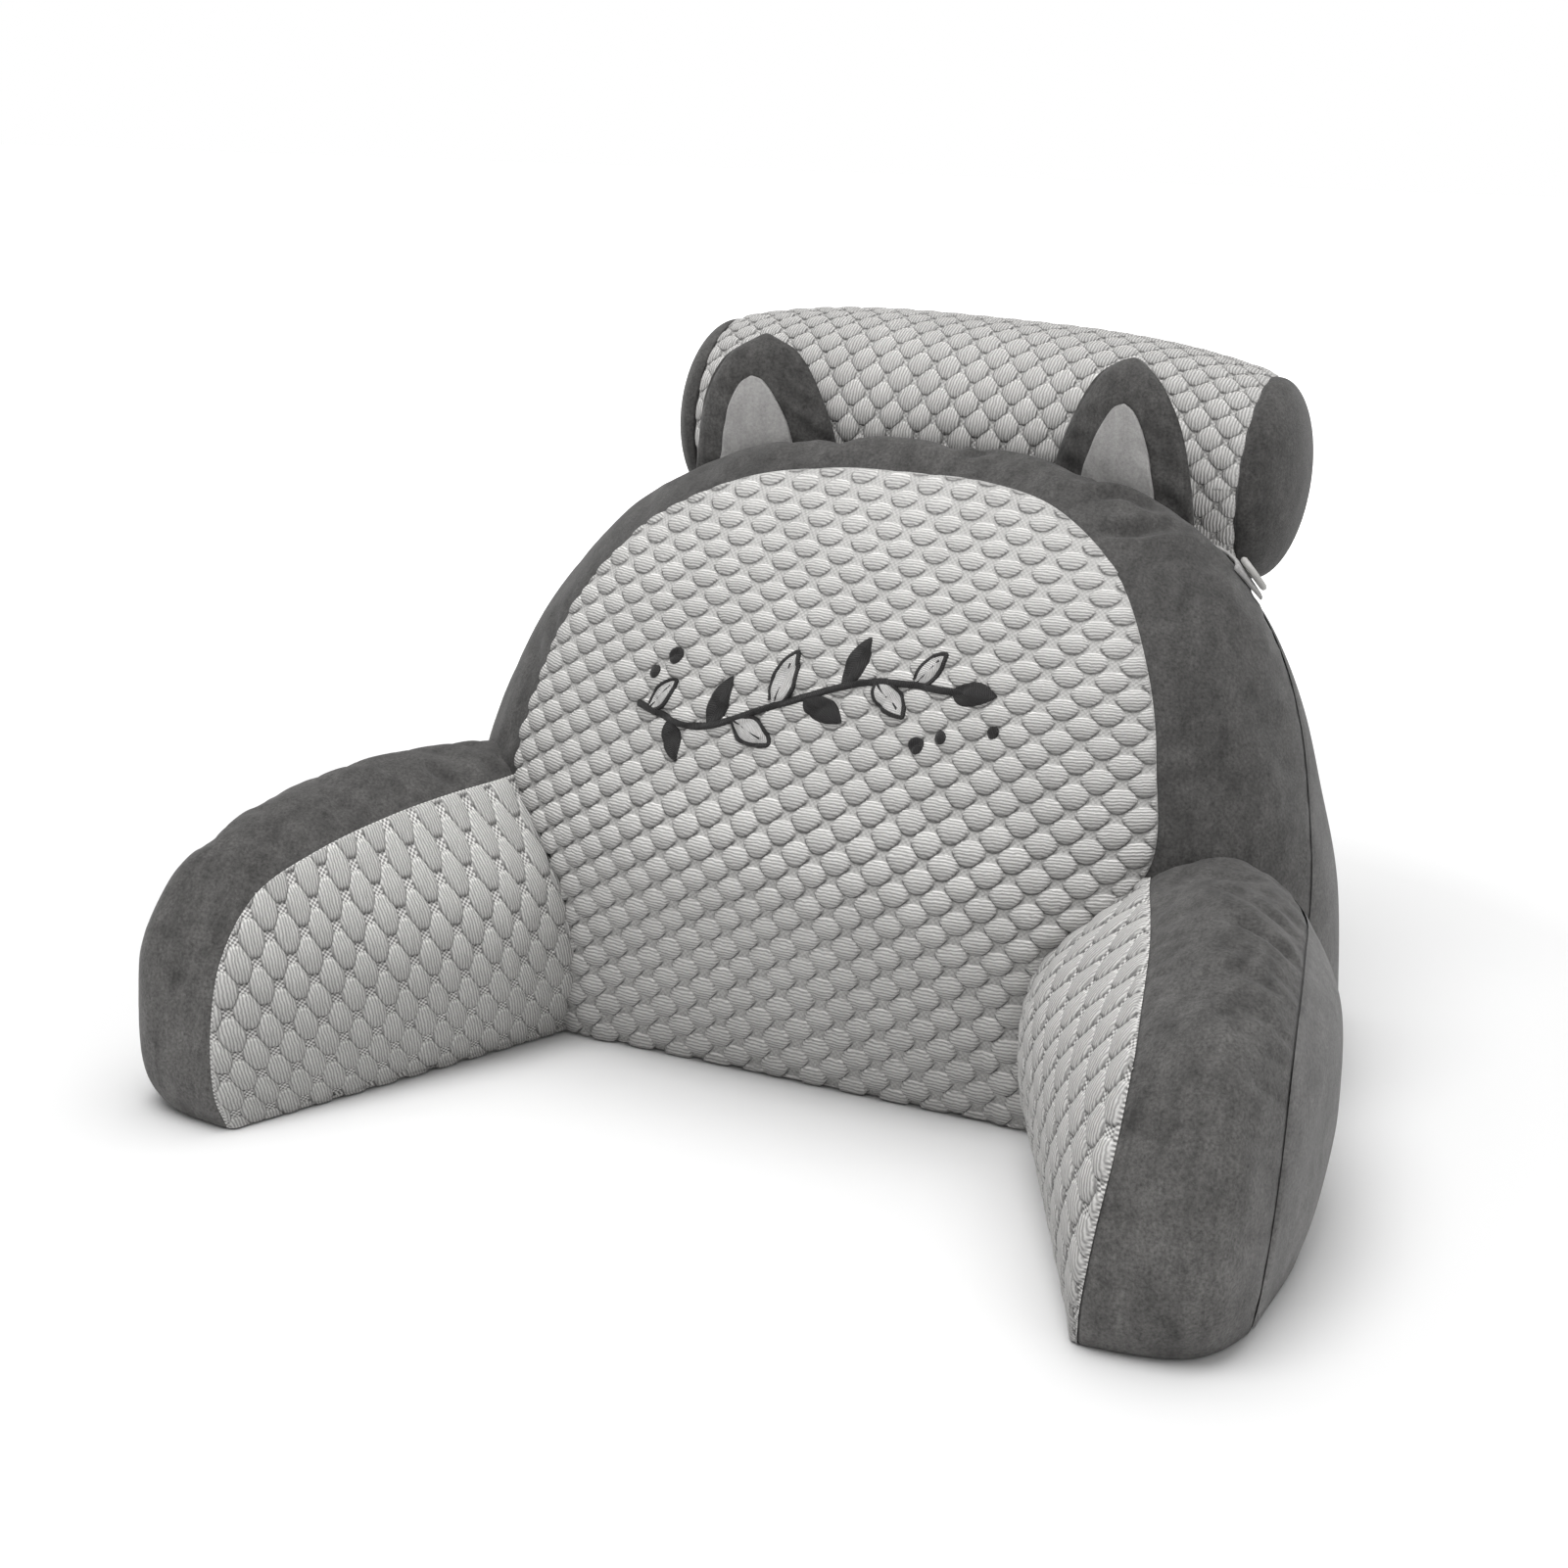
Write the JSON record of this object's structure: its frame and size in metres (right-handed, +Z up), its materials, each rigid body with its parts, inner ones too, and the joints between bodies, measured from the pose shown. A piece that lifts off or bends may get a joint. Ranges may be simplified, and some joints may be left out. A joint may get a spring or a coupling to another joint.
{
  "type": "reading pillow with arms",
  "caption": "Wedge-shaped reading pillow with padded side arms, pointed ears on its top edge and a round neck roll strapped behind the top.",
  "frame": {"origin": "on the floor under the middle of the pillow's box", "axes": "+Z up, -Y towards the open front where the arms point, +X across the width"},
  "size_m": [0.6012, 0.5276, 0.3873],
  "materials": {
    "velour_dark": "short-pile velour, dark grey",
    "velour_side": "short-pile velour, mid grey",
    "velour_pale": "short-pile velour, pale grey",
    "jacquard": "puffed jacquard knit, light grey",
    "button": "satin, pale grey"
  },
  "bodies": {
    "root": {"back_cushion": "velour_dark", "back_front_panel": "jacquard", "back_rear_panel": "velour_side", "arm_cushion_left": "velour_dark", "arm_cushion_right": "velour_dark", "arm_inner_panel_left": "jacquard", "arm_inner_panel_right": "jacquard", "arm_outer_panel_left": "velour_side", "arm_outer_panel_right": "velour_side", "ear_left": "velour_dark", "ear_right": "velour_dark", "ear_lining_left": "velour_pale", "ear_lining_right": "velour_pale", "neck_roll": "jacquard", "neck_roll_end_left": "velour_dark", "neck_roll_end_right": "velour_dark", "roll_strap_left": "velour_pale", "roll_strap_right": "velour_pale", "strap_button_left": "button", "strap_button_right": "button"}
  },
  "joints": []
}
